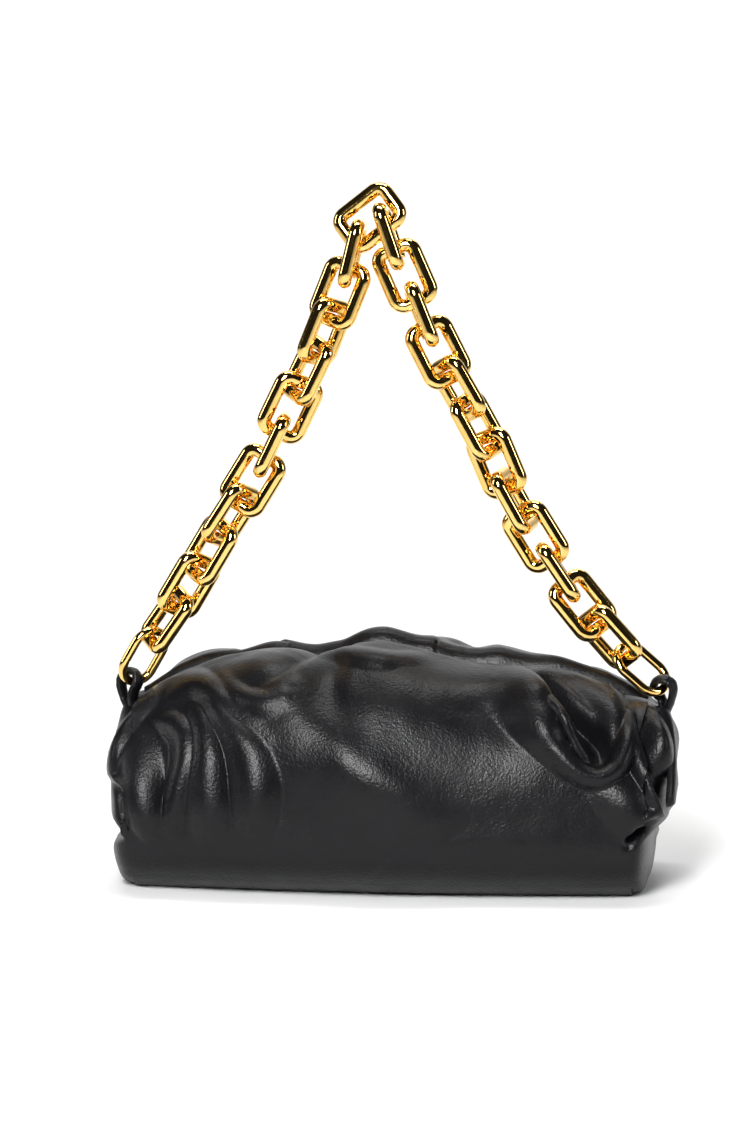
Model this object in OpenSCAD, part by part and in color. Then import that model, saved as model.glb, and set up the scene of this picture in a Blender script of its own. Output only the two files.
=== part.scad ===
// Soft gathered pouch bag with a chunky link chain.
// The bag stands on its flat underside, the chain is held up above it.
// X runs along the bag, Y from front to back, Z up from the floor.

/* [Pouch] */
// Width of the pouch from end to end
pouch_w = 310; // [300:1:320]
// Height of the gathered crest at its middle
crest_h = 137; // [130:1:145]
// Height of the crest where it meets the gathered ends
shoulder_h = 102.6; // [101.8:0.2:103.4]
// Thickness of the doubled leather
leather_t = 2; // [1.6:0.1:2.2]
// Length of each gathered end, outside the mouth
end_l = 16; // [15:1:18]
// How far the rounded underside is pressed flat
flat_press = 1.5; // [1:0.1:3]
// How far the middle of each side bulges out past its ends
bulge = 16.5; // [15:0.5:18]
// How far the main folds stand out from the widest place
fold_h = 2.5; // [2:0.1:3]
// Distance of the crests from the middle of the mouth, at its centre
crest_reach = 9; // [8:0.5:10]
// How deep the mouth lies between the two crests, at its centre
mouth_depth = 12; // [10:0.5:14]
// The same distance and depth where the crests meet the gathered ends
crest_roll = 4; // [3.8:0.1:4.4]
// Running gap between the lips and the wall that they slide over
slide_gap = 0.6; // [0.5:0.1:0.8]
// Gap between the lips and the gathered ends
seam_gap = 1.5; // [1:0.1:2]
// Half of the gap between the two lips at the closed mouth
mouth_gap = 1.2; // [0.8:0.1:1.6]
// Gap left between pieces that lie on each other
seat_gap = 0.3; // [0.25:0.05:0.4]

/* [Lining] */
// Thickness of the lining
lining_t = 1; // [0.6:0.1:1.4]
// Padding space between the leather and the lining
lining_gap = 3.2; // [3:0.1:4]
// Length of the stiff board in the base
board_l = 236; // [200:1:240]
// Space beside the stiff board, on the flat of the base
board_side_gap = 0.7; // [0.5:0.1:4]
// Thickness of the stiff board
board_t = 2; // [1.5:0.1:2.4]
// Corner radius of the stiff board
board_corner_r = 18; // [10:1:24]

/* [Frame] */
// Height of the hinge pins above the floor
hinge_h = 45; // [43:1:46]
// Depth of the steel bars' top edge under the ends of the crest
bar_drop = 5.6; // [5.2:0.2:6.4]
// Height of the steel bar
bar_h = 12; // [10:1:14]
// Thickness of the steel bar
bar_t = 2.5; // [2:0.1:3]
// Thickness of the plates that carry the hinge eyes
ear_t = 1.8; // [1.5:0.1:2.2]
// Width of those plates at their widest
ear_w = 8; // [7:0.5:9]
// Outer radius of the hinge eyes
eye_r = 7; // [6:0.5:8]
// Diameter of the hinge pins
pin_d = 4; // [3:0.1:5]
// Radius of the pins' riveted heads
pin_head_r = 4.2; // [4:0.1:5]
// Thickness of the pins' heads
pin_head_t = 1.5; // [1:0.1:2]
// Running clearance around a pin
pin_clear = 0.06; // [0.04:0.01:0.1]
// Gap between neighbouring plates on a pin
ear_gap = 0.4; // [0.3:0.1:0.6]
// Length of a magnet
magnet_l = 30; // [20:1:40]
// Height of a magnet
magnet_h = 8; // [6:1:10]
// Thickness of a magnet
magnet_t = 1.8; // [1.5:0.1:2]
// Distance of the magnets from the middle of the mouth
magnet_x = 60; // [40:1:90]

/* [Chain] */
// Diameter of the bar that the links are made of
wire_d = 7.8; // [7:0.1:8.2]
// Length of the opening in a link
link_in_l = 23.1; // [22.4:0.1:24]
// Width of the opening in a link
link_in_w = 13.1; // [12.6:0.1:14]
// Radius of a link's corners, at the middle of the bar
link_corner_r = 5.2; // [5:0.1:8.5]
// Gap between two links where they bear on each other
link_gap = 0.3; // [0.25:0.05:0.35]
// Slope of the top link, up from the horizontal
top_slope = 38; // [30:1:45]
// Turn of the top link about its own length
top_roll = 12; // [0:1:12]

/* [Rings and loops] */
// Diameter of the bar of the end rings
ring_wire_d = 5; // [4.5:0.1:5.4]
// Length of the opening in an end ring
ring_in_l = 27; // [26:0.5:30]
// Width of the opening in an end ring
ring_in_w = 15; // [14:0.5:17]
// Thickness of the rolled leather loops
loop_d = 5.6; // [5.2:0.1:5.8]
// Side play of a ring in its loop
loop_play = 1.2; // [1:0.1:1.6]
// Distance of the loops from the tips of the pouch
loop_inset = 9; // [8:0.5:10]
// Lift of the left ring above the leather
left_lift_h = 2.6; // [2.4:0.1:3.2]
// Lift of the right ring above the leather
right_lift_h = 2.7; // [2.5:0.1:3.2]
// Length of the loops' straight legs
leg_l = 0.6; // [0.4:0.1:0.8]
// Width of the leather tab that holds a loop to the end
tab_w = 15; // [12:1:18]
// Thickness of that tab
tab_t = 2.2; // [1.6:0.1:2.6]
// Height of the tip of the tab above the hinge
tab_tip_h = 5; // [3:1:10]
// Depth of the root of the tab under the top of the end
tab_drop = 12.6; // [11.6:1:16.6]

/* [Hidden] */
link_sides = 48;
wall_steps = 20;
upper_steps = 5;
lower_steps = 10;
lip_rows = 36;
fold_rows = 44;
lip_steps = 9;
crest_steps = 3;
end_steps = 7;
tab_steps = 10;

// The leather's section and its outline along the bag
crest_bend = 1.8;
shoulder_bend = 1.7;
base_power = 0.667;
end_power = 2.4;
wall_angle = 47;
lip_angle = 51;
lining_angle = 80;
mouth_half_l = pouch_w/2 - end_l;
lip_half_l = mouth_half_l - seam_gap;
end_r = shoulder_h - hinge_h;
crest_max_r = crest_h - hinge_h;
function arch(x) = 1 - pow(min(1, abs(x)/mouth_half_l), crest_bend);
function side_r(x) = end_r + bulge*arch(x);
function crest_r(x) = end_r + (crest_max_r - end_r)*arch(x);

// Distance of the plain leather from the hinge, at an angle from straight up
function plain_r(x, a) = side_r(x) + (crest_r(x) - side_r(x))*pow(cos(a), shoulder_bend);
function hem_r(x) = plain_r(x, lip_angle) - leather_t - slide_gap;

// Point of a section: a circle about the hinge above it, a squarer round below
function upper_point(r, a) = [r*sin(a), hinge_h + r*cos(a)];
function lower_point(r, base, a) = [
    r*pow(cos(a - 90), base_power),
    max(base, hinge_h - (hinge_h - base + flat_press)*pow(sin(a - 90), base_power))
];
function section(r, base, a) = a <= 90 ? upper_point(r, a) : lower_point(r, base, a);

// Angles down one side of a section, then round the whole of it
function side_angles(start) = concat(
    [for (i = [0:upper_steps - 1]) start + (90 - start)*i/upper_steps],
    [for (i = [0:lower_steps]) 90 + 90*i/lower_steps]
);
function section_row(x, r, base, start) = let (
    angles = side_angles(start),
    last = len(angles) - 1,
    front = [for (a = angles) let (p = section(r, base, a)) [x, -p[0], p[1]]],
    back = [for (i = [last - 1:-1:0]) let (p = section(r, base, angles[i])) [x, p[0], p[1]]]
) concat(front, back);
function rows_x(half_l, steps) = [for (i = [0:steps]) half_l*(2*i/steps - 1)];

// Closed sheet between an outer and an inner grid of points
module sheet_solid(outer, inner) {
    rows = len(outer);
    cols = len(outer[0]);
    count = rows*cols;
    points = concat([for (row = outer, p = row) p], [for (row = inner, p = row) p]);
    top = [for (i = [0:rows - 2], j = [0:cols - 2])
        let (a = i*cols + j, b = a + 1, c = a + cols + 1, d = a + cols)
        each [[a, c, b], [a, d, c]]];
    under = [for (f = top) [f[0] + count, f[2] + count, f[1] + count]];
    edge = concat(
        [for (j = [0:cols - 2]) [j, j + 1]],
        [for (i = [0:rows - 2]) [i*cols + cols - 1, (i + 1)*cols + cols - 1]],
        [for (j = [cols - 1:-1:1]) [(rows - 1)*cols + j, (rows - 1)*cols + j - 1]],
        [for (i = [rows - 1:-1:1]) [i*cols, (i - 1)*cols]]
    );
    rim = [for (e = edge)
        each [[e[0], e[1], e[1] + count], [e[0], e[1] + count, e[0] + count]]];
    polyhedron(points, concat(top, under, rim));
}

// Gathers and folds are shares of the mouth's half length and of the crest's height:
// place along the mouth, rise or fall, half width, and drift on the way down
function total(v, i = 0) = i < len(v) ? v[i] + total(v, i + 1) : 0;
function gather_rise(x, t, shares) = crest_max_r
    *(1 - pow(min(1, abs(x)/lip_half_l), 8))
    *total([for (g = shares) g[1]*exp(-pow((x/lip_half_l - g[0] - g[3]*t)/g[2], 2))]);

// Leather wall that wraps the front, the base and the back, let in under the lips,
// with the main folds that run down from the mouth
front_fold_shares = [
    [-0.87, -0.04, 0.05, -0.04],
    [-0.75, 0.045, 0.07, 0.01],
    [-0.66, -0.03, 0.05, 0.05],
    [-0.57, 0.04, 0.06, 0.04],
    [-0.47, -0.04, 0.07, 0.3],
    [-0.27, 0.045, 0.085, 0.48],
    [-0.04, -0.045, 0.1, 0.36],
    [0.5, 0.045, 0.09, 0.32],
    [0.74, -0.04, 0.08, 0.06]
];
back_fold_shares = [
    [-0.7, 0.04, 0.1, -0.06],
    [-0.45, -0.035, 0.09, -0.12],
    [-0.02, 0.04, 0.12, -0.1],
    [0.3, -0.035, 0.1, 0.14],
    [0.66, 0.04, 0.1, 0.08]
];
fold_end_angle = 155;
max_dent = lining_gap - 2*seat_gap;
widest_r = end_r + bulge + fold_h;
function fold_rise(x, a, shares) = let (
    t = min(1, (a - wall_angle)/(fold_end_angle - wall_angle))
) max(-max_dent, gather_rise(x, t, shares)*sqrt(cos(90*t)));
function wall_point(x, inset, a, shares) = let (rise = fold_rise(x, a, shares)) a <= 90
    ? upper_point(min(plain_r(x, a) + rise, hem_r(x), widest_r/sin(a)) - inset, a)
    : lower_point(min(side_r(x) + rise, widest_r) - inset, inset, a);
function wall_row(x, inset) = let (
    angles = side_angles(wall_angle),
    last = len(angles) - 1,
    front = [for (a = angles)
        let (p = wall_point(x, inset, a, front_fold_shares)) [x, -p[0], p[1]]],
    back = [for (i = [last - 1:-1:0])
        let (p = wall_point(x, inset, angles[i], back_fold_shares)) [x, p[0], p[1]]]
) concat(front, back);
module body_leather() color("#1c1c1f") {
    outer = [for (x = rows_x(mouth_half_l, fold_rows)) wall_row(x, 0)];
    inner = [for (x = rows_x(mouth_half_l, fold_rows)) wall_row(x, leather_t)];
    sheet_solid(outer, inner);
}

// Gathered end: rings that draw in from the mouth to the tip of the pouch
function end_share(c) = pow(1 - pow(c, end_power), 1/end_power);
function end_ring(c, r, base, l) = let (
    f = end_share(c),
    angles = concat(
        [for (i = [0:2*upper_steps - 1]) 90*i/(2*upper_steps)],
        [for (i = [0:lower_steps]) 90 + 90*i/lower_steps]
    ),
    last = len(angles) - 1,
    front = [for (a = angles) let (p = section(r, base, a)) [-p[0], p[1]]],
    back = [for (i = [last - 1:-1:1]) let (p = section(r, base, angles[i])) [p[0], p[1]]]
) [for (p = concat(front, back)) [mouth_half_l + l*c, p[0]*f, hinge_h + (p[1] - hinge_h)*f]];

module end_leather() color("#1c1c1f") {
    steps = [for (i = [0:end_steps - 1]) sin(90*i/end_steps)];
    outer = [for (c = steps) end_ring(c, end_r, 0, end_l)];
    inner = [for (c = steps) end_ring(c, end_r - leather_t, leather_t, end_l - leather_t)];
    n = len(outer[0]);
    m = len(steps);
    points = concat(
        [for (row = outer, p = row) p],
        [[mouth_half_l + end_l, 0, hinge_h]],
        [for (row = inner, p = row) p],
        [[mouth_half_l + end_l - leather_t, 0, hinge_h]]
    );
    half = n*m + 1;
    skin = concat(
        [for (i = [0:m - 2], j = [0:n - 1])
            let (k = (j + 1) % n)
            each [[i*n + j, (i + 1)*n + k, i*n + k], [i*n + j, (i + 1)*n + j, (i + 1)*n + k]]],
        [for (j = [0:n - 1]) [(m - 1)*n + j, n*m, (m - 1)*n + (j + 1) % n]]
    );
    back = [for (f = skin) [f[0] + half, f[2] + half, f[1] + half]];
    rim = [for (j = [0:n - 1])
        let (k = (j + 1) % n)
        each [[j, k + half, j + half], [j, k, k + half]]];
    polyhedron(points, concat(skin, back, rim));
}
module right_end_leather() end_leather();
module left_end_leather() mirror([1, 0, 0]) end_leather();

// Gathers of each lip
front_gather_shares = [
    [-0.76, 0.05, 0.12, 0.04],
    [-0.44, 0.02, 0.12, 0.18],
    [-0.25, -0.085, 0.13, 0.3],
    [0.36, -0.08, 0.2, 0.22],
    [0.66, 0.02, 0.12, 0.08]
];
back_gather_shares = [
    [-0.68, 0.045, 0.16, -0.05],
    [-0.3, -0.05, 0.14, -0.2],
    [0.26, -0.045, 0.16, 0.2],
    [0.62, 0.03, 0.14, 0.1],
    [0.85, 0.035, 0.1, 0.02]
];
gather_end_share = 0.85;

// Lip of the mouth: a flange beside the bar, the rolled crest, and the part that slides,
// whose dents end above the circle that its hem moves on
bar_top = shoulder_h - bar_drop;
flange_h = bar_top - bar_h - mouth_gap;
function lip_skin(x, shares) = let (
    top = hinge_h + crest_r(x) + gather_rise(x, 0, shares),
    crest_y = crest_roll + (crest_reach - crest_roll)*arch(x),
    valley = top - crest_roll - (mouth_depth - crest_roll)*arch(x),
    crest_angle = atan(crest_y/(top - hinge_h)),
    edge_r = norm([crest_y, top - hinge_h])
) concat(
    [[mouth_gap, flange_h], [mouth_gap, (flange_h + valley)/2]],
    [for (i = [0:crest_steps - 1]) let (turn = 90*i/crest_steps) [
        mouth_gap + (crest_y - mouth_gap)*(1 - cos(turn)),
        valley + (top - valley)*sin(turn)
    ]],
    [for (i = [0:lip_steps]) let (
        t = i/lip_steps,
        a = crest_angle + (lip_angle - crest_angle)*t,
        rise = gather_rise(x, t, shares)*cos(90*min(1, t/gather_end_share)),
        r = edge_r + (plain_r(x, a) + rise - edge_r)*min(1, crest_steps*t),
        slide_r = min(edge_r, plain_r(x, lip_angle) + slide_gap*(1 - t))
    ) upper_point(max(r, slide_r), a)]
);
function inset_line(line, depth) = [for (i = [0:len(line) - 1]) let (
    along = line[min(i + 1, len(line) - 1)] - line[max(i - 1, 0)]
) line[i] + depth*[along[1], -along[0]]/norm(along)];
module lip_leather(shares, way) color("#1c1c1f") {
    outer = [for (x = rows_x(lip_half_l, lip_rows))
        [for (p = lip_skin(x, shares)) [x, way*p[0], p[1]]]];
    inner = [for (x = rows_x(lip_half_l, lip_rows))
        [for (p = inset_line(lip_skin(x, shares), leather_t)) [x, way*p[0], p[1]]]];
    if (way < 0) sheet_solid(outer, inner);
    else sheet_solid(inner, outer);
}
module front_lip_leather() lip_leather(front_gather_shares, -1);
module back_lip_leather() lip_leather(back_gather_shares, 1);

// Lining: a trough of cloth and two end panels, inside the lips' travel
lining_half_l = mouth_half_l - leather_t/2;
lining_base = leather_t + board_t + 2*seat_gap;
module lining() color("#5b4636") {
    outer = [for (x = rows_x(lining_half_l, wall_steps))
        section_row(x, side_r(x) - leather_t - lining_gap, lining_base, lining_angle)];
    inner = [for (x = rows_x(lining_half_l, wall_steps))
        section_row(x, side_r(x) - leather_t - lining_gap - lining_t,
            lining_base + lining_t, lining_angle)];
    sheet_solid(outer, inner);
    panel_r = side_r(lining_half_l) - leather_t - lining_gap - lining_t - seat_gap;
    panel = [for (p = section_row(0, panel_r, lining_base + lining_t + seat_gap, lining_angle))
        [p[1], p[2]]];
    for (side = [0, 1])
        mirror([side, 0, 0])
            translate([lining_half_l - lining_t, 0, 0])
                rotate([90, 0, 90])
                    linear_extrude(lining_t) polygon(panel);
}

// Stiff board between the leather and the lining, as wide as the flat of the base
flat_angle = asin(pow((hinge_h - leather_t)/(hinge_h - leather_t + flat_press), 1/base_power));
flat_half_w = (side_r(board_l/2) - leather_t)*pow(cos(flat_angle), base_power);
board_w = 2*(flat_half_w - board_side_gap);
module base_board() color("#8a7a5c")
    translate([0, 0, leather_t + seat_gap])
        linear_extrude(board_t)
            difference() {
                square([board_l, board_w], center = true);
                for (sx = [-1, 1], sy = [-1, 1])
                    translate([sx*(board_l/2 - board_corner_r), sy*(board_w/2 - board_corner_r)])
                        difference() {
                            translate([sx > 0 ? 0 : -2*board_corner_r, sy > 0 ? 0 : -2*board_corner_r])
                                square(2*board_corner_r);
                            circle(board_corner_r, $fn = 64);
                        }
            }

// Frame half: a bar along the mouth and a plate with a hinge eye at each end
bar_y = mouth_gap + leather_t + seat_gap + magnet_t;
outer_ear_x = lining_half_l - lining_t - seat_gap - pin_head_t - ear_gap;
function ear_x(row) = outer_ear_x - ear_t - row*(ear_t + ear_gap);
module ear_shape() difference() {
    union() {
        polygon([
            [-bar_y, bar_top],
            [-bar_y - bar_t, bar_top],
            [-bar_y - ear_w, bar_top - ear_w/2],
            [-bar_y - ear_w, bar_top - bar_h],
            [-eye_r, hinge_h],
            [eye_r, hinge_h],
            [-bar_y, bar_top - bar_h - mouth_gap]
        ]);
        translate([0, hinge_h]) circle(eye_r, $fn = 64);
    }
    translate([0, hinge_h]) circle(pin_d/2 + pin_clear, $fn = 64);
}
module frame_half(row) color("silver") {
    length = 2*(ear_x(row) + ear_t);
    translate([-length/2, -bar_y - bar_t, bar_top - bar_h])
        cube([length, bar_t, bar_h]);
    for (side = [0, 1])
        mirror([side, 0, 0])
            translate([ear_x(row), 0, 0])
                rotate([90, 0, 90])
                    linear_extrude(ear_t) ear_shape();
}
module front_frame() frame_half(1);
module back_frame() mirror([0, 1, 0]) frame_half(0);

// Rivet through both eyes
module hinge_pin() color("gray") {
    inside_x = ear_x(1) - ear_gap;
    outside_x = ear_x(0) + ear_t + ear_gap;
    translate([inside_x, 0, hinge_h]) rotate([0, 90, 0])
        cylinder(outside_x - inside_x, pin_d/2, pin_d/2, $fn = 64);
    for (x = [inside_x - pin_head_t, outside_x])
        translate([x, 0, hinge_h]) rotate([0, 90, 0])
            cylinder(pin_head_t, pin_head_r, pin_head_r, $fn = 64);
}
module right_hinge_pin() hinge_pin();
module left_hinge_pin() mirror([1, 0, 0]) hinge_pin();

// Closing magnets, on the mouth side of each bar
module magnets() color("lightgray")
    for (side = [-1, 1])
        translate([side*magnet_x - magnet_l/2, -bar_y, bar_top - bar_h/2 - magnet_h/2])
            cube([magnet_l, magnet_t, magnet_h]);
module front_magnets() magnets();
module back_magnets() mirror([0, 1, 0]) magnets();

// Closed link of round bar, its lower end at the origin, its length along Z
module link_shape(length, width, corner, wire) {
    x = width/2 - corner;
    color("gold") {
        for (side = [0, 1]) mirror([side, 0, 0]) {
            translate([width/2, 0, corner])
                cylinder(length - 2*corner, wire/2, wire/2, $fn = link_sides);
            translate([x, 0, length - corner]) rotate([90, 0, 0])
                rotate_extrude(angle = 90, $fn = link_sides)
                    translate([corner, 0]) circle(wire/2, $fn = link_sides);
            translate([x, 0, corner]) rotate([-90, 0, 0])
                rotate_extrude(angle = 90, $fn = link_sides)
                    translate([corner, 0]) circle(wire/2, $fn = link_sides);
        }
        if (x > 0)
            for (z = [0, length])
                translate([-x, 0, z]) rotate([0, 90, 0])
                    cylinder(2*x, wire/2, wire/2, $fn = link_sides);
    }
}

// Tilt from the vertical and turn about its own length of each ring and link,
// from the pouch upwards
left_tilt_angles = [27, 32, 28, 28, 30, 29, 23, 23, 23, 19, 19, 11];
left_roll_angles = [-45, 55, -40, 42, -58, 12, 85, -18, 52, -52, 18, 90];
right_tilt_angles = [-47, -40, -37, -32, -30, -27, -21, -27, -28, -25, -20, -22, -17];
right_roll_angles = [-50, 42, -30, 85, 15, -75, 25, -55, 50, -20, 80, 0, 90];

// Each leg of the chain is laid out by itself, then leaned until both reach the top link
link_l = link_in_l + wire_d;
link_w = link_in_w + wire_d;
ring_l = ring_in_l + ring_wire_d;
ring_w = ring_in_w + ring_wire_d;
bear = (wire_d + link_gap)/2;
ring_bear = (ring_wire_d + link_gap)/2;
function up(t) = [sin(t), cos(t)];
function pitch(k) = (k == 0 ? ring_in_l : link_in_l) - link_gap;
function foot(start, tilts, k) = k == 0
    ? start
    : foot(start, tilts, k - 1) + pitch(k - 1)*up(tilts[k - 1]);
function leg_end(tilts) = let (last = len(tilts) - 1)
    foot([0, 0], tilts, last + 1) + bear*up(tilts[last]);
loop_x = pouch_w/2 - loop_inset;
end_top = hinge_h + end_r;
left_foot = [-loop_x, end_top + ring_wire_d + link_gap + left_lift_h];
right_foot = [loop_x, end_top + ring_wire_d + link_gap + right_lift_h];
top_dir = [cos(top_slope), sin(top_slope)];
left_reach = leg_end(left_tilt_angles);
right_reach = leg_end(right_tilt_angles);
from_right = right_foot - (link_l - 4*bear)*top_dir;
span = from_right - left_foot;
along = (span*span + left_reach*left_reach - right_reach*right_reach)/(2*norm(span));
above = sqrt(left_reach*left_reach - along*along);
left_top = left_foot + (along*span + above*[-span[1], span[0]])/norm(span);
right_top = left_top + (link_l - 4*bear)*top_dir;
function heading(v) = atan2(v[0], v[1]);
left_lean = heading(left_top - left_foot) - heading(left_reach);
right_lean = heading(right_top - right_foot) - heading(right_reach);
left_angles = [for (t = left_tilt_angles) t + left_lean];
right_angles = [for (t = right_tilt_angles) t + right_lean];
function at(p) = [p[0], 0, p[1]];

module place(start, angles, rolls, k) {
    p = foot(start, angles, k);
    translate(at(p)) rotate([0, angles[k], 0]) rotate([0, 0, -rolls[k]])
        if (k == 0)
            translate([0, 0, -ring_bear])
                link_shape(ring_l, ring_w, ring_w/2, ring_wire_d);
        else
            translate([0, 0, -bear])
                link_shape(link_l, link_w, link_corner_r, wire_d);
}
module left_piece(k) place(left_foot, left_angles, left_roll_angles, k);
module right_piece(k) place(right_foot, right_angles, right_roll_angles, k);
module link_top()
    translate(at(left_top - 2*bear*top_dir))
        rotate([0, 90 - top_slope, 0]) rotate([0, 0, -top_roll])
            link_shape(link_l, link_w, link_corner_r, wire_d);

// Rolled leather loop that a ring hangs in
loop_yaw = 100;
loop_r = (ring_wire_d + loop_d)/2 + loop_play;
module loop(start, angle, roll) color("#1c1c1f") {
    rise = (loop_d + link_gap)/2 - loop_r;
    translate(at(start)) rotate([0, angle, 0]) rotate([0, 0, loop_yaw - roll])
        translate([0, 0, rise]) {
            for (side = [0, 1]) mirror([side, 0, 0]) {
                rotate([90, 0, 0])
                    rotate_extrude(angle = 90, $fn = link_sides)
                        translate([loop_r, 0]) circle(loop_d/2, $fn = link_sides);
                translate([loop_r, 0, -leg_l])
                    cylinder(leg_l, loop_d/2, loop_d/2, $fn = link_sides);
            }
        }
}
module left_ring_loop() loop(left_foot, left_angles[0], left_roll_angles[0]);
module right_ring_loop() loop(right_foot, right_angles[0], right_roll_angles[0]);

// Tab sewn down the end of the pouch, a strip that follows the end's own curve
function end_x(y, z, out) = let (f = norm([y, z])/(end_r + out))
    mouth_half_l + (end_l + out)*end_share(min(1, f));
tab_root_h = end_r - tab_drop;
tab_straight_share = 0.75;
tab_tip_share = 0.26;
function tab_half(t) = tab_w/2*(t < tab_straight_share
    ? 1
    : sqrt(1 - pow((t - tab_straight_share)/tab_tip_share, 2)));
function tab_row(t, y0, y1, out) = let (
    z = tab_root_h + (tab_tip_h - tab_root_h)*t,
    y = y0 + (y1 - y0)*t
) [for (s = [-1:0.5:1]) [end_x(y + s*tab_half(t), z, out), y + s*tab_half(t), hinge_h + z]];
module tab(y0, y1) color("#1c1c1f") {
    steps = [for (i = [0:tab_steps]) i/tab_steps];
    outer = [for (t = steps) tab_row(t, y0, y1, seat_gap + tab_t)];
    inner = [for (t = steps) tab_row(t, y0, y1, seat_gap)];
    sheet_solid(inner, outer);
}
module right_loop_tab() tab(-tab_w/2, -tab_w);
module left_loop_tab() mirror([1, 0, 0]) tab(tab_w/4, tab_w/2);

body_leather();
left_end_leather();
right_end_leather();
lining();
base_board();
left_ring_loop();
right_ring_loop();
left_loop_tab();
right_loop_tab();
left_hinge_pin();
right_hinge_pin();
front_frame();
front_magnets();
front_lip_leather();
back_frame();
back_magnets();
back_lip_leather();
left_piece(0);  // ring_left
right_piece(0);  // ring_right
left_piece(1);  // link_left_1
left_piece(2);  // link_left_2
left_piece(3);  // link_left_3
left_piece(4);  // link_left_4
left_piece(5);  // link_left_5
left_piece(6);  // link_left_6
left_piece(7);  // link_left_7
left_piece(8);  // link_left_8
left_piece(9);  // link_left_9
left_piece(10);  // link_left_10
left_piece(11);  // link_left_11
right_piece(1);  // link_right_1
right_piece(2);  // link_right_2
right_piece(3);  // link_right_3
right_piece(4);  // link_right_4
right_piece(5);  // link_right_5
right_piece(6);  // link_right_6
right_piece(7);  // link_right_7
right_piece(8);  // link_right_8
right_piece(9);  // link_right_9
right_piece(10);  // link_right_10
right_piece(11);  // link_right_11
right_piece(12);  // link_right_12
link_top();
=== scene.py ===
import math

import bpy
import numpy as np
from mathutils import Matrix, Vector


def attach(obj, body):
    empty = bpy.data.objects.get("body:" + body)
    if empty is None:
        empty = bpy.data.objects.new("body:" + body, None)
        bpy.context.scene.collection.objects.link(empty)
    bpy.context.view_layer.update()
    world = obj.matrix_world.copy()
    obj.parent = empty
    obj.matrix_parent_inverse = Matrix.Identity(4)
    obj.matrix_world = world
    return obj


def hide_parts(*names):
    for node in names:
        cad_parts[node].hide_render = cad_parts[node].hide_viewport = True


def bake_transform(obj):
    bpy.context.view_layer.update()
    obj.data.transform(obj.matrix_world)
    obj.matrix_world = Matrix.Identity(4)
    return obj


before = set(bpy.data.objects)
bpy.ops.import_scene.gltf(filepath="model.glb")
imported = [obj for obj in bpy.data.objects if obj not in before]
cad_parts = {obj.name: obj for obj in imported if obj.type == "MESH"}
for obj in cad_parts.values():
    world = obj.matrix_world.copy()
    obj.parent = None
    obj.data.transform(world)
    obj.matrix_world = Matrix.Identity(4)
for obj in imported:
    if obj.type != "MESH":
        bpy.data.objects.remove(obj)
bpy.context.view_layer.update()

# Chain and end rings
# Closed links of solid round brass bar, each end bent to a round elbow, polished and
# gold plated. They hang in one another and keep the exact solids of the frame.


def linear(hex_text):
    """An sRGB hex colour as the linear colour that a shader takes."""
    parts = [int(hex_text[i:i + 2], 16) / 255 for i in (1, 3, 5)]
    return tuple(c / 12.92 if c <= 0.04045 else ((c + 0.055) / 1.055) ** 2.4
                 for c in parts) + (1.0,)


def add(tree, kind, settings=None, **inputs):
    """Adds a node. An input is named with _ for a space, and takes a value or a socket."""
    made = tree.nodes.new(kind)
    for key, value in (settings or {}).items():
        setattr(made, key, value)
    for key, value in inputs.items():
        socket = made.inputs[int(key[1:])] if key[0] == "i" and key[1:].isdigit() \
            else made.inputs[key.replace("_", " ")]
        if isinstance(value, bpy.types.NodeSocket):
            tree.links.new(value, socket)
        else:
            socket.default_value = value
    return made


def new_material(name):
    """A material with one Principled shader, its tree and that shader."""
    material = bpy.data.materials.new(name)
    material.use_nodes = True
    tree = material.node_tree
    return material, tree, tree.nodes["Principled BSDF"]


def dress(piece, material):
    """Gives a carried-over frame node its material, whatever slots it came with."""
    piece.data.materials.clear()
    piece.data.materials.append(material)


# Polished gold plate: a mirror with a warm tint, a faint haze of fingerprints in
# patches of about 12 mm, and polishing lines 0.3 mm apart that only soften its edges.
gold_plate, tree, shader = new_material("polished_gold_plate")
shader.inputs["Metallic"].default_value = 1.0
place = add(tree, "ShaderNodeTexCoord")
haze = add(tree, "ShaderNodeTexNoise", Vector=place.outputs["Object"], Scale=1 / 0.012,
           Detail=4.0, Roughness=0.6)
smear = add(tree, "ShaderNodeMapRange", Value=haze.outputs["Fac"], From_Min=0.35,
            From_Max=0.75, To_Min=0.045, To_Max=0.13)
tree.links.new(smear.outputs["Result"], shader.inputs["Roughness"])
tint = add(tree, "ShaderNodeMix", {"data_type": "RGBA"}, Factor=haze.outputs["Fac"],
           i6=linear("#fad88c"), i7=linear("#f2c163"))
tree.links.new(tint.outputs[2], shader.inputs["Base Color"])
lines = add(tree, "ShaderNodeTexNoise", Vector=place.outputs["Object"], Scale=1 / 0.0003,
            Detail=2.0)
polish = add(tree, "ShaderNodeBump", Height=lines.outputs["Fac"], Strength=0.03,
             Distance=0.0001)
tree.links.new(polish.outputs["Normal"], shader.inputs["Normal"])

for name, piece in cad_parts.items():
    if name.startswith(("link_", "ring_")):
        dress(piece, gold_plate)

# Gathered leather pouch
# One piece of soft black calf leather wraps the front, the base and the back. It is
# gathered onto the hidden frame, so that it falls in deep soft folds from the mouth.

# Height of the frame's hinge line, half the length of the mouth, the length of a gathered
# end past it, half the gap at the mouth, and the height of the flange under the frame
HINGE_H = 45.0
HALF_L = 139.0
END_L = 16.0
MOUTH_GAP = 1.4
FLANGE_H = 86.0
# Reach of the leather level with the hinge line, and how much more at the middle
SIDE_R = 57.6
SIDE_BULGE = 14.0
# Power of the end's rounding, and what the shoulders add to it
END_POWER = 3.0
SHOULDER_POWER = 1.5
# Sag low on the sides: how far, and the height of its middle and half its height
SAG, SAG_H, SAG_HALF = 3.2, 27, 17
LEATHER_T = 0.0016


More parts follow.
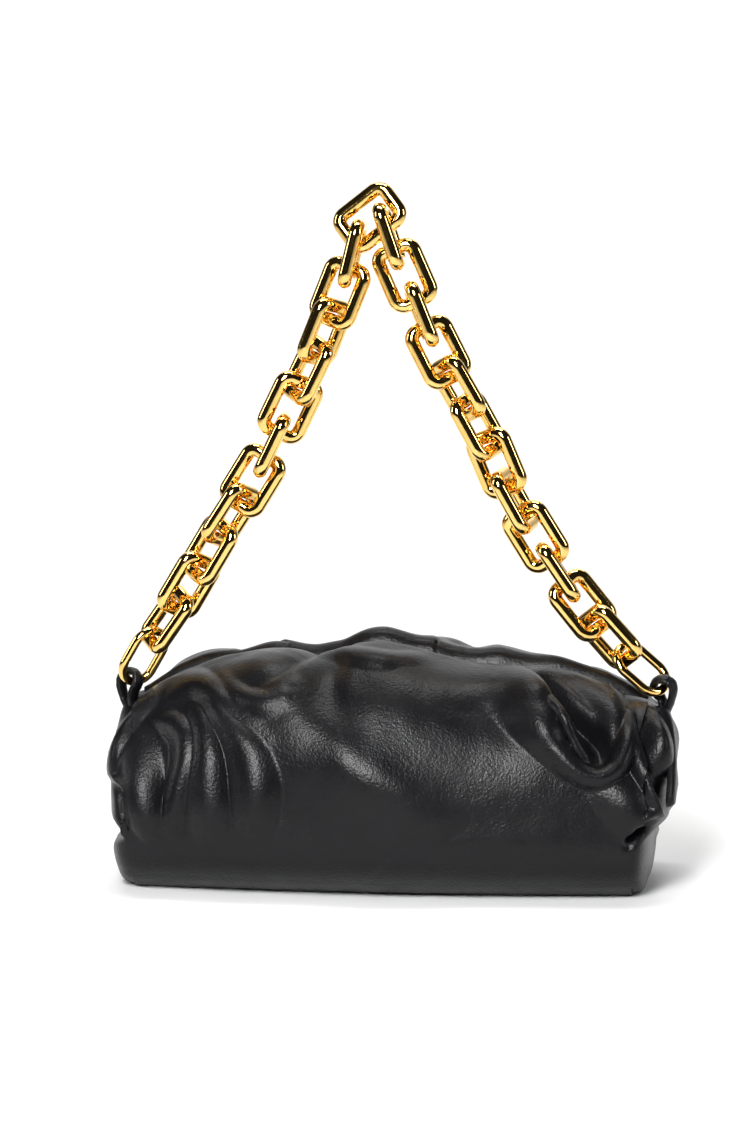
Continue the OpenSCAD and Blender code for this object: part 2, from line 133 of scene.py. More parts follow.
def smooth_line(points, soft=4.0):
    """A soft curve through (along, height) points, as a function of the place along."""
    along, height = zip(*points)
    grid = np.arange(-170.0, 171.0)
    reach = int(3 * soft)
    weights = np.exp(-(np.arange(-reach, reach + 1) / soft) ** 2)
    padded = np.interp(np.arange(-170.0 - reach, 171.0 + reach), along, height)
    values = np.convolve(padded, weights / weights.sum(), mode="valid")
    return lambda x: np.interp(x, grid, values)


# Height of the rim of each side of the mouth, in mm along the pouch
front_rim = smooth_line([
    (-155, 98), (-139, 101), (-118, 113), (-105, 119), (-92, 124), (-67, 127), (-50, 126.5),
    (-38, 123), (-30, 124), (-20, 130), (-4, 134), (12, 131), (30, 126), (48, 119.5),
    (66, 117.5), (84, 119), (100, 115), (118, 107), (139, 101), (155, 98)])
back_rim = smooth_line([
    (-155, 97), (-139, 102), (-122, 115), (-95, 125), (-65, 128), (-40, 130), (-15, 136),
    (-4, 138), (12, 134), (35, 129), (60, 125), (88, 123), (112, 116), (126, 110),
    (139, 102), (155, 97)])


def side_r(x):
    """Reach of the leather from the hinge line, level with it."""
    return SIDE_R + SIDE_BULGE * (1 - (np.abs(x) / HALF_L) ** 1.7)


def end_draw(x, angle):
    """How far the gathered ends draw in towards the tips, squarer at the shoulders."""
    c = np.clip((np.abs(x) - HALF_L) / END_L, 0, 1)
    power = END_POWER + SHOULDER_POWER * np.clip(np.cos(np.radians(angle)), 0, 1)
    return (1 - c ** power) ** (1 / power)


def rim_y(x):
    """Distance of the rim from the middle of the mouth."""
    return 4.0 + 6.0 * (1 - (x / HALF_L) ** 2)


def outer_point(x, angle, rim):
    """Plain leather surface, before its folds: angle is from straight up, in degrees."""
    rad = np.radians(angle)
    side = side_r(x)
    top = np.hypot(rim_y(x), rim(x) - HINGE_H)
    r = side + (top - side) * np.clip(np.cos(rad), 0, 1) ** 1.7
    upper_y, upper_z = r * np.sin(rad), HINGE_H + r * np.cos(rad)
    below = np.radians(np.clip(angle - 90, 0, 90))
    lower_y = side * np.cos(below) ** 0.6
    lower_z = np.maximum(0, HINGE_H - (HINGE_H + 1.5) * np.sin(below) ** 0.7)
    y = np.where(angle <= 90, upper_y, lower_y)
    z = np.where(angle <= 90, upper_z, lower_z)
    sag = SAG * np.exp(-((z - SAG_H) / SAG_HALF) ** 2) * np.clip((angle - 40) / 20, 0, 1)
    draw = end_draw(x, angle)
    return (y + sag) * draw, HINGE_H + (z - HINGE_H) * draw


# The folds lie in the plane of a view from 6 degrees right and 7 degrees up, in mm from
# the middle of the base. A lobe is an inflated roll of leather, and where two lobes meet
# they leave a sharp valley. Its points hold a place, half its width, and its height.
# A dent is the same the other way round. A lap is the edge of one layer over another, as
# sharp as its softness, with a reach. It stands up on the left of its line, and its
# points hold a place and a height.
VIEW_AZ, VIEW_EL, VIEW_DISTANCE = 6.0, 7.0, 2300.0
VIEW_RIGHT = np.array((math.cos(math.radians(VIEW_AZ)), math.sin(math.radians(VIEW_AZ)), 0))
VIEW_UP = np.array((-math.sin(math.radians(VIEW_AZ)) * math.sin(math.radians(VIEW_EL)),
                    math.cos(math.radians(VIEW_AZ)) * math.sin(math.radians(VIEW_EL)),
                    math.cos(math.radians(VIEW_EL))))
VIEW_BACK = np.cross(VIEW_RIGHT, VIEW_UP)
VIEW_TARGET = np.array((-10.7, 0, 176.0))
FRAME_H = 617.6
LOBES, DENTS, LAPS = [], [], []
UNION_POWER = 3.5


def soft_path(points):
    """The points with every corner cut twice, so that they run in a soft curve."""
    line = np.array(points, float)
    for _ in range(2):
        cut = [line[0]]
        for a, b in zip(line[:-1], line[1:]):
            cut += [a * 0.75 + b * 0.25, a * 0.25 + b * 0.75]
        line = np.array(cut + [line[-1]])
    return line


def lobe(*points):
    LOBES.append(soft_path(points))


def dent(*points):
    DENTS.append(soft_path(points))


def lap(softness, reach, *points):
    LAPS.append((softness, reach, soft_path(points)))


# Main mound across the middle of the front, its pillow, and its edge over the next fold
lap(12, 30, (33, 28, 0), (27, 38, 4), (14, 49, 7), (-2, 59, 8.5), (-18, 69, 9),
    (-34, 83, 8.5), (-43, 98, 7), (-42, 112, 4), (-38, 120, 1))
lobe((-40, 121, 4, 1), (-26, 121, 5, 2.5), (-8, 121, 6, 3), (6, 122, 5, 2), (16, 123, 4, 0.5))
lap(1.8, 17, (-24, 129, 4), (-38, 122, 5), (-48, 116, 4.5), (-58, 110, 3.5), (-68, 106, 2.5),
    (-78, 103, 1), (-86, 102, 0))
lobe((-92, 114, 5, 0.5), (-89, 105, 7, 2.5), (-81, 97, 8, 3.2), (-71, 94, 8, 3),
     (-62, 97, 7, 1.5))
lobe((-90, 112, 9, 1), (-80, 114, 11, 2.5), (-68, 117, 12, 3.5), (-56, 120, 10, 3),
     (-45, 123, 6, 1.5))
lobe((30, 108, 14, 1), (48, 108, 16, 3), (64, 105, 13, 5), (76, 98, 11, 5))
# Lobes low on the left, each running into the gathers above it
lobe((-139, 88, 12, 1), (-142, 74, 14, 3), (-141, 60, 15, 5), (-139, 47, 14, 7.5),
     (-136, 36, 12.5, 7.5), (-133, 28, 9, 4), (-131, 21, 6, 0))
lobe((-130, 90, 8, 1), (-121, 86, 9, 2.5), (-115, 78, 9, 3.5), (-115, 66, 8.5, 4.2),
     (-118, 52, 8.5, 4.8), (-121, 40, 8.5, 5), (-124, 31, 7, 3.5), (-126, 24, 4, 0))
lobe((-108, 92, 6, 1), (-105, 80, 9, 3), (-103, 66, 13, 5), (-103, 52, 15.5, 6.5),
     (-102, 40, 16, 7), (-100, 30, 13, 5), (-99, 21, 9, 0))
lobe((-104, 103, 5, 1), (-97, 93, 6.5, 3), (-89, 82, 9, 4), (-82, 71, 13, 5),
     (-78, 58, 16, 6), (-77, 45, 17, 7), (-78, 34, 15, 6), (-80, 23, 10, 0))
lobe((-127, 94, 6, 1), (-121, 104, 9, 3), (-110, 110, 10, 3.5), (-100, 104, 9, 3),
     (-90, 95, 9, 2.5), (-80, 85, 9, 1.5), (-73, 76, 9, 0.5))
# Looped fold on the right, the slot inside it, and the mound's edge over the slot
lobe((58, 104, 14, 3), (69, 94, 15, 5.5), (80, 82, 13, 7), (90, 70, 10, 8),
     (98, 60.5, 7.5, 8.5), (107, 55.5, 6.5, 8.5), (115, 56, 6.5, 8.5), (122, 61, 6.5, 8.5),
     (126, 69, 6.5, 8), (127.5, 79, 6, 7), (127.5, 89, 5, 4))
lobe((86, 95, 3, 2), (92, 87, 3.5, 6), (97, 79, 3.5, 6.5), (101, 71, 3.5, 4), (106, 66, 3, 1))
lobe((88, 119, 7, 3), (101, 114, 9, 6), (112, 106, 10, 7), (119, 96, 10, 7), (122, 86, 8, 5),
     (122, 78, 6, 2))
lap(1.5, 16, (101, 78, 0), (98, 85, 5), (91, 96, 7), (81, 107, 7), (72, 114, 5), (62, 121, 3))
dent((78, 113, 4, 3), (86, 106, 6, 9), (96, 95, 8, 13), (105, 85.5, 8.5, 13),
     (112, 76, 9, 9), (113, 67, 9, 5))
lobe((112, 58, 10, 1), (120, 50, 15, 3.5), (127, 42, 16, 5.5), (132, 35, 13, 5), (136, 28, 7, 1))
# Edge that gathers at the right end, the long hollow behind it, and the pinched hole
lobe((127, 95, 5, 1), (130, 82, 6, 3), (133, 69, 6.5, 5), (138, 55, 6.5, 6),
     (143, 43, 6, 6), (146, 36, 4.5, 4))
dent((134, 94, 5, 1), (139, 80, 8, 7), (143, 66, 9, 12), (147, 53, 9, 11), (150, 41, 6, 4))
lobe((126, 110, 6, 1), (133, 101, 8, 3), (141, 90, 8, 4), (148, 77, 8, 4), (153, 64, 8, 3))
dent((131, 19, 5, 1), (135.5, 23, 7, 9), (140, 27, 7.5, 11), (146, 31, 6, 3))
lobe((130, 27, 4, 1), (134, 32, 5, 4), (139, 36, 5, 5), (144, 38, 4.5, 4))
# Pinched slit at the left end, and the front's edge where it rolls back to that end
dent((-152, 53, 4, 1), (-149.5, 45, 5, 8), (-149.5, 37, 4.5, 8), (-152, 30, 4, 1))
lobe((-155, 58, 3, 2), (-148, 51, 3.5, 5), (-145.5, 42, 3.5, 6), (-147, 33, 3.5, 5),
     (-152, 26, 3, 2))
lobe((-157, 60, 5, 3), (-151, 76, 6, 5), (-143, 89, 6, 5), (-134, 98, 6, 4.5),
     (-123, 108, 5, 3), (-113, 114, 4, 2))
dent((-155, 88, 5, 1), (-147, 99, 7, 6), (-138, 107, 6, 6), (-127, 114, 5, 3))


def along_line(u, v, line, scaled):
    """Nearest place on a line: distance there, in half widths if scaled, side and values."""
    best = np.full(u.shape, 1e9)
    side = np.zeros(u.shape)
    values = np.zeros((line.shape[1] - 2,) + u.shape)
    for a, b in zip(line[:-1], line[1:]):
        du, dv = b[:2] - a[:2]
        t = np.clip(((u - a[0]) * du + (v - a[1]) * dv) / (du * du + dv * dv), 0, 1)
        pu, pv = u - (a[0] + t * du), v - (a[1] + t * dv)
        held = [a[k] + (b[k] - a[k]) * t for k in range(2, len(a))]
        d = np.hypot(pu, pv) / (held[0] if scaled else 1)
        closer = d < best
        best = np.where(closer, d, best)
        side = np.where(closer, np.sign(du * pv - dv * pu), side)
        values = np.where(closer, held, values)
    return best, side, values


def fold_height(u, v):
    """Height of all the folds together at places in the plane of that view."""
    rolls = np.zeros_like(u)
    for line in LOBES:
        d, _, (_, height) = along_line(u, v, line, True)
        rolls += (height * np.clip(1 - d * d, 0, 1) ** 1.5) ** UNION_POWER
    total = rolls ** (1 / UNION_POWER)
    for line in DENTS:
        d, _, (_, depth) = along_line(u, v, line, True)
        total -= depth * np.clip(1 - d * d, 0, 1) ** 2
    for softness, reach, line in LAPS:
        d, side, (height,) = along_line(u, v, line, False)
        rise = 0.5 + 0.5 * np.tanh(side * d / softness)
        total += height * rise * np.exp(-(np.where(side > 0, d, 0) / reach) ** 2)
    return total


# Pleats over the rim, small at the front and deeper at the back: place along, lean, width
# and height. Ripples are the faint unevenness of soft leather.
crease_random = np.random.default_rng(11)
PLEATS = {side: [(x, crease_random.uniform(-0.25, 0.25), crease_random.uniform(6.0, 13.0),
                  crease_random.uniform(-1.0, 1.0) * size)
                 for x in np.cumsum(crease_random.uniform(14, 30, 12)) - 135]
          for side, size in ((-1, 0.6), (1, 2.6))}
RIPPLES = [(crease_random.uniform(-0.35, 0.35), crease_random.uniform(-0.35, 0.35),
            crease_random.uniform(0, 6.3)) for _ in range(14)]
RIPPLE_H = 0.02
# The right end draws in low down, and the left end is notched: how far, and the heights
TUCK, TUCK_TOP, TUCK_SOFT = 10, 46, 14
NOTCH, NOTCH_H, NOTCH_HALF = 8, 31, 5.5


def leather_surface(x, angle, side):
    """The leather with its folds, in mm, on the front (side -1) or the back (side 1)."""
    rim = front_rim if side < 0 else back_rim
    y, z = outer_point(x, angle, rim)
    y = side * y
    reach = np.hypot(y, z - HINGE_H) + 1e-6
    tip = np.clip((np.abs(x) - 100) / 55, 0, 1) ** 2
    direction = np.stack([np.sign(x) * tip * 1.2, y / reach, (z - HINGE_H) / reach])
    direction /= np.linalg.norm(direction, axis=0)
    seen = np.stack([x if side < 0 else -x * 0.97, -np.abs(y), z], axis=-1) - VIEW_TARGET
    nearer = VIEW_DISTANCE / (VIEW_DISTANCE - seen @ VIEW_BACK)
    u = seen @ VIEW_RIGHT * nearer + VIEW_TARGET @ VIEW_RIGHT
    v = seen @ VIEW_UP * nearer + VIEW_TARGET @ VIEW_UP
    facing = np.clip(np.abs(y) / 14, 0, 1)
    lift = (fold_height(u, v) - 1.5) * facing * (1 if side < 0 else 0.8)
    for x0, lean, width, size in PLEATS[side]:
        lift += size * np.exp(-((x - x0 - lean * angle) / width) ** 2) \
            * np.exp(-(angle / 34) ** 2) * np.clip((130 - np.abs(x)) / 14, 0, 1)
    for ku, kv, phase in RIPPLES:
        lift += RIPPLE_H * np.sin(ku * u + kv * v + phase + side)
    lift = lift * np.clip(z / 10, 0, 1)
    low = np.clip((TUCK_TOP - z) / TUCK_SOFT, 0, 1)
    tuck = TUCK * np.clip((x - 105) / 50, 0, 1) ** 1.5 * low * low * (3 - 2 * low)
    notch = NOTCH * np.clip((-x - 141) / 14, 0, 1) \
        * np.exp(-((z - NOTCH_H) / NOTCH_HALF) ** 2)
    px = x + direction[0] * lift - tuck + notch
    py = y + direction[1] * lift
    pz = np.maximum(z + direction[2] * lift, 0)
    return np.stack([px, py, pz], axis=-1)


def sheet_mesh(name, points, flip=False):
    """A smooth mesh through a grid of points in mm."""
    rows, cols = points.shape[:2]
    index = np.arange(rows * cols).reshape(rows, cols)
    a, b, c, d = index[:-1, :-1], index[:-1, 1:], index[1:, 1:], index[1:, :-1]
    quads = np.stack([a, b, c, d] if not flip else [a, d, c, b], axis=-1).reshape(-1, 4)
    mesh = bpy.data.meshes.new(name)
    mesh.from_pydata((points.reshape(-1, 3) * 0.001).tolist(), [], quads.tolist())
    mesh.shade_smooth()
    piece = bpy.data.objects.new(name, mesh)
    bpy.context.scene.collection.objects.link(piece)
    return piece


def apply_modifiers(piece):
    """Bakes a piece's modifiers into its mesh."""
    bpy.context.view_layer.update()
    made = bpy.data.meshes.new_from_object(
        piece.evaluated_get(bpy.context.evaluated_depsgraph_get()))
    piece.modifiers.clear()
    piece.data = made


def thicken(piece, thickness):
    """Gives a sheet its real thickness, towards its inner side and never under the floor."""
    solid = piece.modifiers.new("thickness", "SOLIDIFY")
    solid.thickness = thickness
    solid.offset = -1
    solid.use_quality_normals = True
    apply_modifiers(piece)
    for point in piece.data.vertices:
        point.co.z = max(point.co.z, 0.0)
    piece.data.shade_smooth()
    piece.data.set_sharp_from_angle(angle=math.radians(60))


# Aniline calf leather, drum milled so that it is soft: near black, with a low even sheen.
# Its pebble grain is about 0.9 mm across. It is drawn from pores 1.1 mm apart under a
# 1.8 mm swell, coarser than the real one, so that it shows.
calf_leather, tree, shader = new_material("milled_calf_leather")
place = add(tree, "ShaderNodeTexCoord")
grain = add(tree, "ShaderNodeTexNoise", Vector=place.outputs["Object"], Scale=1 / 0.0018,
            Detail=2.0, Roughness=0.6)
pores = add(tree, "ShaderNodeTexVoronoi", Vector=place.outputs["Object"], Scale=1 / 0.0011)
cloud = add(tree, "ShaderNodeTexNoise", Vector=place.outputs["Object"], Scale=1 / 0.03,
            Detail=5.0, Roughness=0.6)
relief = add(tree, "ShaderNodeMath", {"operation": "MULTIPLY_ADD"},
             i0=pores.outputs["Distance"], i1=0.35, i2=grain.outputs["Fac"])
bump = add(tree, "ShaderNodeBump", Height=relief.outputs["Value"], Strength=0.5,
           Distance=0.00045)
tree.links.new(bump.outputs["Normal"], shader.inputs["Normal"])
sheen = add(tree, "ShaderNodeMapRange", Value=cloud.outputs["Fac"], From_Min=0.3,
            From_Max=0.7, To_Min=0.3, To_Max=0.38)
tree.links.new(sheen.outputs["Result"], shader.inputs["Roughness"])
dye = add(tree, "ShaderNodeMix", {"data_type": "RGBA"}, Factor=cloud.outputs["Fac"],
          i6=linear("#08080a"), i7=linear("#0e0e11"))
tree.links.new(dye.outputs[2], shader.inputs["Base Color"])
shader.inputs["IOR"].default_value = 1.32

# Rows of a side: up the flange inside the mouth, over the rim, and down the outside
COLUMNS = np.linspace(-HALF_L, HALF_L, 221)
FLANGE_ROWS, ROLL_ROWS, UPPER_ROWS, LOWER_ROWS = 6, 8, 66, 40


def side_rows(side):
    """Grid of one side's leather from the frame over the rim to the middle of the base."""
    rim = front_rim if side < 0 else back_rim
    x = COLUMNS
    start = np.degrees(np.arctan2(rim_y(x), rim(x) - HINGE_H))
    steps = np.arange(UPPER_ROWS)[:, None] / UPPER_ROWS
    lower = 90 + 90 * np.arange(LOWER_ROWS + 1)[:, None] / LOWER_ROWS
    angles = np.concatenate([start + (90 - start) * steps, lower + 0 * start])
    outside = leather_surface(np.tile(x, (len(angles), 1)), angles, side)
    first = outside[0]
    valley = np.maximum(first[:, 2] - 13, FLANGE_H + 6)
    rows = []
    for k in range(FLANGE_ROWS):
        z = FLANGE_H + (valley - FLANGE_H) * k / FLANGE_ROWS
        rows.append(np.stack([x, np.full_like(x, side * MOUTH_GAP), z], axis=-1))
    for k in range(ROLL_ROWS):
        phi = math.radians(90 * k / ROLL_ROWS)
        y = side * MOUTH_GAP + (first[:, 1] - side * MOUTH_GAP) * (1 - math.cos(phi))
        z = valley + (first[:, 2] - valley) * math.sin(phi)
        rows.append(np.stack([x + (first[:, 0] - x) * math.sin(phi), y, z], axis=-1))
    return np.concatenate([np.array(rows), outside])


for side, name, half in ((-1, "front_leather", "front_half"), (1, "back_leather", "back_half")):
    piece = sheet_mesh(name, side_rows(side), flip=side > 0)
    thicken(piece, LEATHER_T)
    piece.data.materials.append(calf_leather)
    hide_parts(half.split("_")[0] + "_lip_leather")
    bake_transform(piece)
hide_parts("body_leather")

# Gathered ends
# Past the mouth the same leather closes round each end of the frame, where the folds
# run together under the loop that holds the chain.

# The first rows tuck under the sides' leather, so that no gap shows at the mouth's end
TUCKED_ROWS = (HALF_L - 2.5, HALF_L - 0.2)
TUCKED_SHARE = 0.985


def end_rows(way):
    """Grid of one gathered end, from the mouth's end to the tip."""
    x = way * np.concatenate([TUCKED_ROWS,
                              HALF_L + END_L * np.sin(np.linspace(0, math.pi / 2, 23))])
    first = [float(np.degrees(np.arctan2(rim_y(HALF_L), rim(way * HALF_L) - HINGE_H)))
             for rim in (front_rim, back_rim)]
    rise = np.arange(UPPER_ROWS + 1) / UPPER_ROWS
    lower = 90 * np.arange(LOWER_ROWS + 1) / LOWER_ROWS
    front = np.concatenate([180 - lower, 90 + (first[0] - 90) * rise[1:]])
    over = np.concatenate([first[1] + (90 - first[1]) * rise, 90 + lower[1:]])
    parts = []
    for angles, side in ((front, -1), (over, 1)):
        parts.append(leather_surface(np.tile(x[:, None], (1, len(angles))),
                                     np.tile(angles, (len(x), 1)), side))
    rows = np.concatenate(parts, axis=1)
    middle = np.array((0, HINGE_H))
    rows[:2, :, 1:] = middle + (rows[:2, :, 1:] - middle) * TUCKED_SHARE
    return rows


for way, name in ((-1, "left_end_gather"), (1, "right_end_gather")):
    piece = sheet_mesh(name, end_rows(way), flip=way > 0)
    thicken(piece, LEATHER_T)
    piece.data.materials.append(calf_leather)
    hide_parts("left_end_leather" if way < 0 else "right_end_leather")
    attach(piece, "pouch")

# Steel frame, hinge rivets and magnets
# Two halves of rolled steel strip turn on a rivet at each end, hidden between the
# leather and the lining. Nickel plated magnets close the mouth.

rolled_steel, tree, shader = new_material("rolled_steel_strip")
shader.inputs["Metallic"].default_value = 1.0
place = add(tree, "ShaderNodeTexCoord")
drawn = add(tree, "ShaderNodeMapping", Vector=place.outputs["Object"])
drawn.inputs["Scale"].default_value = (1 / 0.02, 1 / 0.0005, 1 / 0.0005)
streaks = add(tree, "ShaderNodeTexNoise", Vector=drawn.outputs["Vector"], Scale=1.0,
              Detail=3.0)
steel_rough = add(tree, "ShaderNodeMapRange", Value=streaks.outputs["Fac"], To_Min=0.28,
                  To_Max=0.46)
tree.links.new(steel_rough.outputs["Result"], shader.inputs["Roughness"])
steel_tone = add(tree, "ShaderNodeMix", {"data_type": "RGBA"}, Factor=streaks.outputs["Fac"],
                 i6=linear("#b4b6b8"), i7=linear("#cfd0d1"))
tree.links.new(steel_tone.outputs[2], shader.inputs["Base Color"])
for name in ("front_frame", "back_frame", "left_hinge_pin", "right_hinge_pin"):
    dress(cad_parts[name], rolled_steel)

nickel_plate, tree, shader = new_material("nickel_plate")
shader.inputs["Metallic"].default_value = 1.0
place = add(tree, "ShaderNodeTexCoord")
dull = add(tree, "ShaderNodeTexNoise", Vector=place.outputs["Object"], Scale=1 / 0.004,
           Detail=3.0)
dull_rough = add(tree, "ShaderNodeMapRange", Value=dull.outputs["Fac"], To_Min=0.16,
                 To_Max=0.3)
tree.links.new(dull_rough.outputs["Result"], shader.inputs["Roughness"])
plate_tone = add(tree, "ShaderNodeMix", {"data_type": "RGBA"}, Factor=dull.outputs["Fac"],
                 i6=linear("#c9c3b8"), i7=linear("#dcd8cf"))
tree.links.new(plate_tone.outputs[2], shader.inputs["Base Color"])
for name in ("front_magnets", "back_magnets"):
    dress(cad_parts[name], nickel_plate)

# Base board
# A stiffener of pressed grey board lies between the leather and the lining.

press_board, tree, shader = new_material("pressed_fibre_board")
place = add(tree, "ShaderNodeTexCoord")
flecks = add(tree, "ShaderNodeTexNoise", Vector=place.outputs["Object"], Scale=1 / 0.0012,
             Detail=5.0)
board_tone = add(tree, "ShaderNodeMix", {"data_type": "RGBA"}, Factor=flecks.outputs["Fac"],
                 i6=linear("#6f6a60"), i7=linear("#8d877b"))
tree.links.new(board_tone.outputs[2], shader.inputs["Base Color"])
board_bump = add(tree, "ShaderNodeBump", Height=flecks.outputs["Fac"], Strength=0.3,
                 Distance=0.0002)
tree.links.new(board_bump.outputs["Normal"], shader.inputs["Normal"])
shader.inputs["Roughness"].default_value = 0.85
dress(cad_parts["base_board"], press_board)

# Lining
# A loose bag of brushed cotton, sewn to the flanges under the frame and hanging
# inside the leather, its two sides joined along the base.

brushed_cotton, tree, shader = new_material("brushed_cotton_twill")
place = add(tree, "ShaderNodeTexCoord")
turn = add(tree, "ShaderNodeMapping", Vector=place.outputs["Object"])
turn.inputs["Rotation"].default_value = (0, math.radians(45), 0)
twill = add(tree, "ShaderNodeTexWave", {"bands_direction": "X"}, Vector=turn.outputs["Vector"],
            Scale=1 / 0.0009 / 20, Distortion=1.0, Detail=2.0)
nap = add(tree, "ShaderNodeTexNoise", Vector=place.outputs["Object"], Scale=1 / 0.0008,
          Detail=4.0)
cloth_tone = add(tree, "ShaderNodeMix", {"data_type": "RGBA"}, Factor=nap.outputs["Fac"],
                 i6=linear("#5a4534"), i7=linear("#75604b"))
tree.links.new(cloth_tone.outputs[2], shader.inputs["Base Color"])
cloth_bump = add(tree, "ShaderNodeBump", Height=twill.outputs["Fac"], Strength=0.4,
                 Distance=0.0002)
tree.links.new(cloth_bump.outputs["Normal"], shader.inputs["Normal"])
shader.inputs["Roughness"].default_value = 0.9
shader.inputs["Sheen Weight"].default_value = 0.3

# Half the lining's length, its distance inside the leather, and the height of its top
LINING_HALF_L, LINING_INSET, LINING_TOP = 134, 8.5, 84.5
lining_random = np.random.default_rng(5)


def lining_rows(side):
    """Grid of one side of the lining, from the flange down to the middle of the base."""
    x = np.linspace(-LINING_HALF_L, LINING_HALF_L, 91)
    waves = sum(lining_random.uniform(0.4, 1.2) * np.sin(x / lining_random.uniform(7, 16)
                + lining_random.uniform(0, 6)) for _ in range(4))
    rows = []
    inner = side_r(x) - LINING_INSET
    for k in range(40):
        t = k / 39
        angle = 6 + 174 * t
        rad = np.radians(angle)
        if angle <= 90:
            y, z = inner * math.sin(rad), HINGE_H + inner * math.cos(rad) * 0.8
        else:
            below = math.radians(angle - 90)
            y = inner * math.cos(below) ** 0.6
            z = np.full_like(x, max(6.4, HINGE_H - (HINGE_H - 5) * math.sin(below) ** 0.7))
        hang = math.sin(math.pi * t)
        neck = max(0.0, 1 - angle / 42)
        y = y * (1 - neck) + 4.4 * neck + waves * 0.6 * hang * (angle < 120)
        z = np.minimum(z, LINING_TOP) if angle > 20 else np.full_like(x, LINING_TOP + 1.5 * neck)
        rows.append(np.stack([x, side * np.maximum(y, 0 if t > 0.95 else 2.2) * (t < 0.999), z],
                             axis=-1))
    return np.array(rows)


for side, name, half in ((-1, "front_lining", "front_half"), (1, "back_lining", "back_half")):
    piece = sheet_mesh(name, lining_rows(side), flip=side > 0)
    thicken(piece, 0.0005)
    piece.data.materials.append(brushed_cotton)
    if side < 0:
        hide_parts("lining")
    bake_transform(piece)

# Ring loops and their tabs
# A folded strap of the same leather, rolled round, holds each end ring. Its tail is
# sewn down the gathered end as a tab with a rounded tip.

# Radius of a loop, how far its crown stands over its foot, and half the strap's thickness
# and width. Each loop: its node, name, foot along and up, tilt and turn.
LOOP_R = 6.0
CROWN_RISE = 2.95
STRAP_HALF_T, STRAP_HALF_W = 2.2, 3.8
LOOPS = (("left_ring_loop", "left_strap_loop", -146.0, 110.5, 29.69, 145.0),
         ("right_ring_loop", "right_strap_loop", 146.0, 110.6, -48.97, 150.0))
for node, name, foot_x, foot_z, tilt, yaw in LOOPS:
    turn = Matrix.Translation((foot_x, 0, foot_z)) @ Matrix.Rotation(math.radians(tilt), 4, "Y") \
        @ Matrix.Rotation(math.radians(yaw), 4, "Z") @ Matrix.Translation((0, 0, CROWN_RISE - LOOP_R))
    crown = [turn @ Vector((LOOP_R * math.cos(a), 0, LOOP_R * math.sin(a)))
             for a in np.linspace(-0.15, math.pi + 0.15, 41)]
    legs = []
    for tip, before in ((crown[0], crown[1]), (crown[-1], crown[-2])):
        run = (tip - before).normalized()
        root = Vector((foot_x * 0.98 + (tip.x - foot_x) * 0.3, tip.y * 0.7, foot_z - 24))
        legs.append([tip * (1 - t) ** 2 + (tip + run * 6) * (2 * t * (1 - t)) + root * t ** 2
                     for t in np.linspace(0, 1, 21)[1:]])
    path = legs[0][::-1] + crown + legs[1]
    side_way = (turn.to_3x3() @ Vector((0, 1, 0))).normalized()
    rings = []
    for k, centre in enumerate(path):
        run = (path[min(k + 1, len(path) - 1)] - path[max(k - 1, 0)]).normalized()
        out = side_way.cross(run).normalized()
        wide = run.cross(out)
        wrinkle = 1 + 0.04 * math.cos(k * 1.35) * math.cos(k * 0.4)
        ring = [tuple(centre + out * (STRAP_HALF_T * math.cos(a) * wrinkle)
                      + wide * (STRAP_HALF_W * math.sin(a) * wrinkle))
                for a in np.linspace(0, 2 * math.pi, 25)]
        rings.append(ring)
    piece = sheet_mesh(name, np.array(rings))
    piece.data.materials.append(calf_leather)
    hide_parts(node)
    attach(piece, "pouch")

# Each tab: which end, its node and name, its place across at its root and its tip, half
# its width there, and how far its middle is crowned
TABS = ((1, "right_loop_tab", "right_strap_tab", -8.0, -39.0, 5.5, 7.5, 3.6),
        (-1, "left_loop_tab", "left_strap_tab", 3.0, 8.0, 5.0, 6.5, 1.2))
TAB_ROOT_H, TAB_TIP_H = 54.5, 5.0


def tab_rows(way, y_root, y_tip, half_root, half_tip, crown_h):
    """Grid of a tab's crowned outer side, lying on the gathered end."""
    rows = []
    for t in np.linspace(0, 1, 61):
        rounded = 1 if t < 0.86 else math.sqrt(max(0.0, 1 - ((t - 0.86) / 0.14) ** 2))
        half = (half_root + (half_tip - half_root) * min(1, t * 1.6)) * rounded
        row = []
        for s in np.linspace(-1, 1, 21):
            y = y_root + (y_tip - y_root) * t + s * half
            z = TAB_ROOT_H + (TAB_TIP_H - TAB_ROOT_H) * t
            share = min(0.999, math.hypot(y, z) / SIDE_R)
            c = (1 - share ** END_POWER) ** (1 / END_POWER)
            crown = crown_h * (1 - abs(s) ** 3) ** 0.6 * min(1, rounded * 1.5)
            row.append((way * (HALF_L + END_L * c - 1.0 + crown), y, HINGE_H + z))
        rows.append(row)
    return np.array(rows)


for way, node, name, *shape in TABS:
    piece = sheet_mesh(name, tab_rows(way, *shape), flip=way < 0)
    thicken(piece, 0.0004)
    piece.data.materials.append(calf_leather)
    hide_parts(node)
    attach(piece, "pouch")

# Floor, light and camera
# A white paper sweep, soft boxes overhead and on both sides, a tall panel with a grid in
# front, a wash on the paper behind, and a long lens a little above and to the right.

paper, tree, shader = new_material("white_paper_sweep")
place = add(tree, "ShaderNodeTexCoord")
fibres = add(tree, "ShaderNodeTexNoise", Vector=place.outputs["Object"], Scale=1 / 0.002,
             Detail=4.0)
paper_tone = add(tree, "ShaderNodeMix", {"data_type": "RGBA"}, Factor=fibres.outputs["Fac"],
                 i6=linear("#f3f3f3"), i7=linear("#f8f8f8"))
tree.links.new(paper_tone.outputs[2], shader.inputs["Base Color"])
shader.inputs["Roughness"].default_value = 0.9

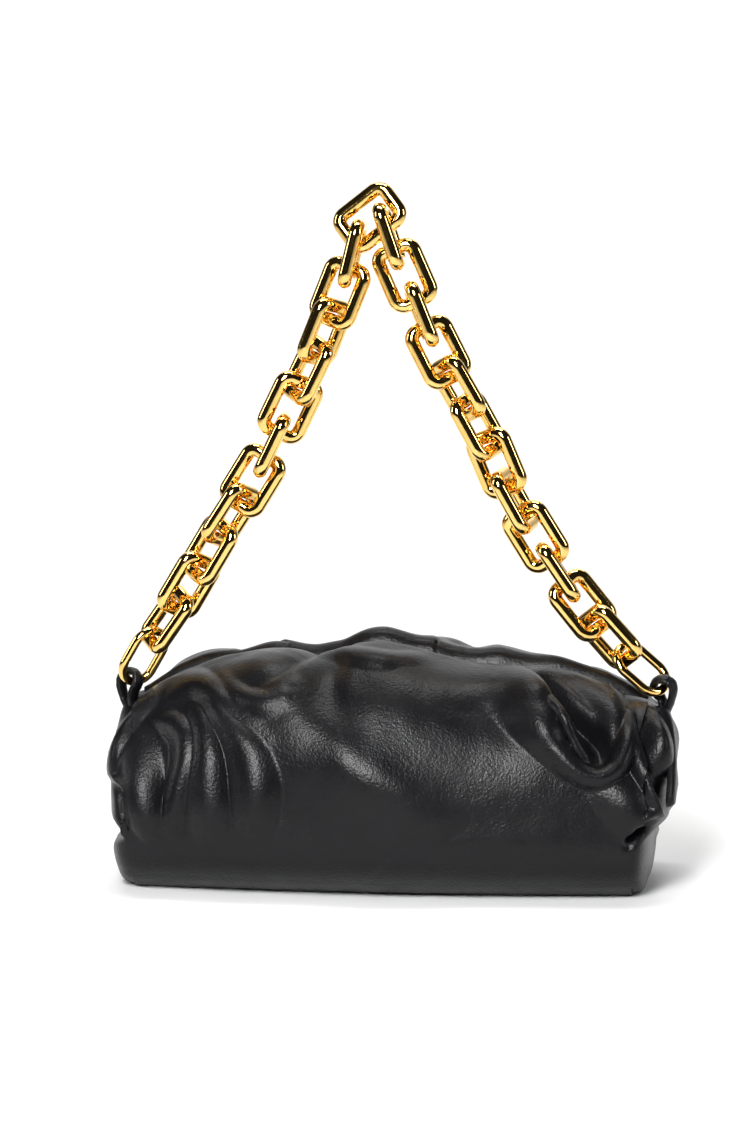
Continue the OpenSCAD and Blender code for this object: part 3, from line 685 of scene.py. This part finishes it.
sweep = []
for y in list(np.linspace(-1500, 2500, 12)) + [2500 + 900 * math.sin(a) for a in
                                                 np.linspace(0.1, math.pi / 2, 12)]:
    bend = max(0.0, (y - 2500) / 900)
    z = 900 * (1 - math.sqrt(max(0.0, 1 - bend * bend))) if y > 2500 else 0.0
    sweep.append([(x, y, z) for x in np.linspace(-6000, 6000, 9)])
sweep.append([(x, 3400, 5000) for x in np.linspace(-6000, 6000, 9)])
floor = sheet_mesh("paper_sweep", np.array(sweep))
floor.location.z = -0.0002
floor.data.materials.append(paper)

world = bpy.data.worlds.new("studio")
bpy.context.scene.world = world
world.use_nodes = True
background = world.node_tree.nodes["Background"]
background.inputs["Color"].default_value = linear("#ffffff")
background.inputs["Strength"].default_value = 0.015
bpy.context.scene.view_settings.view_transform = "Standard"


def soft_box(name, place, aim, size, power, spread=180):
    """A rectangular soft box at a place, aimed at a point. A grid narrows its spread."""
    light = bpy.data.lights.new(name, "AREA")
    light.shape = "RECTANGLE"
    light.size, light.size_y = size
    light.energy = power
    light.spread = math.radians(spread)
    lamp = bpy.data.objects.new(name, light)
    lamp.location = place
    lamp.rotation_mode = "QUATERNION"
    lamp.rotation_quaternion = (Vector(aim) - Vector(place)).to_track_quat("-Z", "Y")
    bpy.context.scene.collection.objects.link(lamp)


soft_box("overhead", (0.0, 0.15, 1.9), (0, 0, 0.1), (1.2, 0.4), 15)
soft_box("front_panel", (-0.2, -1.6, 1.1), (0, 0, 0.08), (0.46, 1.0), 8.2, spread=70)
soft_box("left_side", (-1.7, -0.3, 0.8), (0, 0, 0.15), (0.25, 0.8), 6)
soft_box("right_side", (1.8, -0.4, 0.8), (0, 0, 0.15), (0.25, 0.8), 7)
soft_box("back_wash", (0.0, 1.9, 2.4), (0, 3.2, 0.6), (3.0, 0.8), 75)

back = Vector(VIEW_BACK)
camera_data = bpy.data.cameras.new("camera")
camera_data.lens = 36 * VIEW_DISTANCE / FRAME_H
camera = bpy.data.objects.new("camera", camera_data)
camera.location = (Vector(VIEW_TARGET) + back * VIEW_DISTANCE) * 0.001
camera.rotation_mode = "QUATERNION"
camera.rotation_quaternion = (-back).to_track_quat("-Z", "Y")
bpy.context.scene.collection.objects.link(camera)
bpy.context.scene.camera = camera
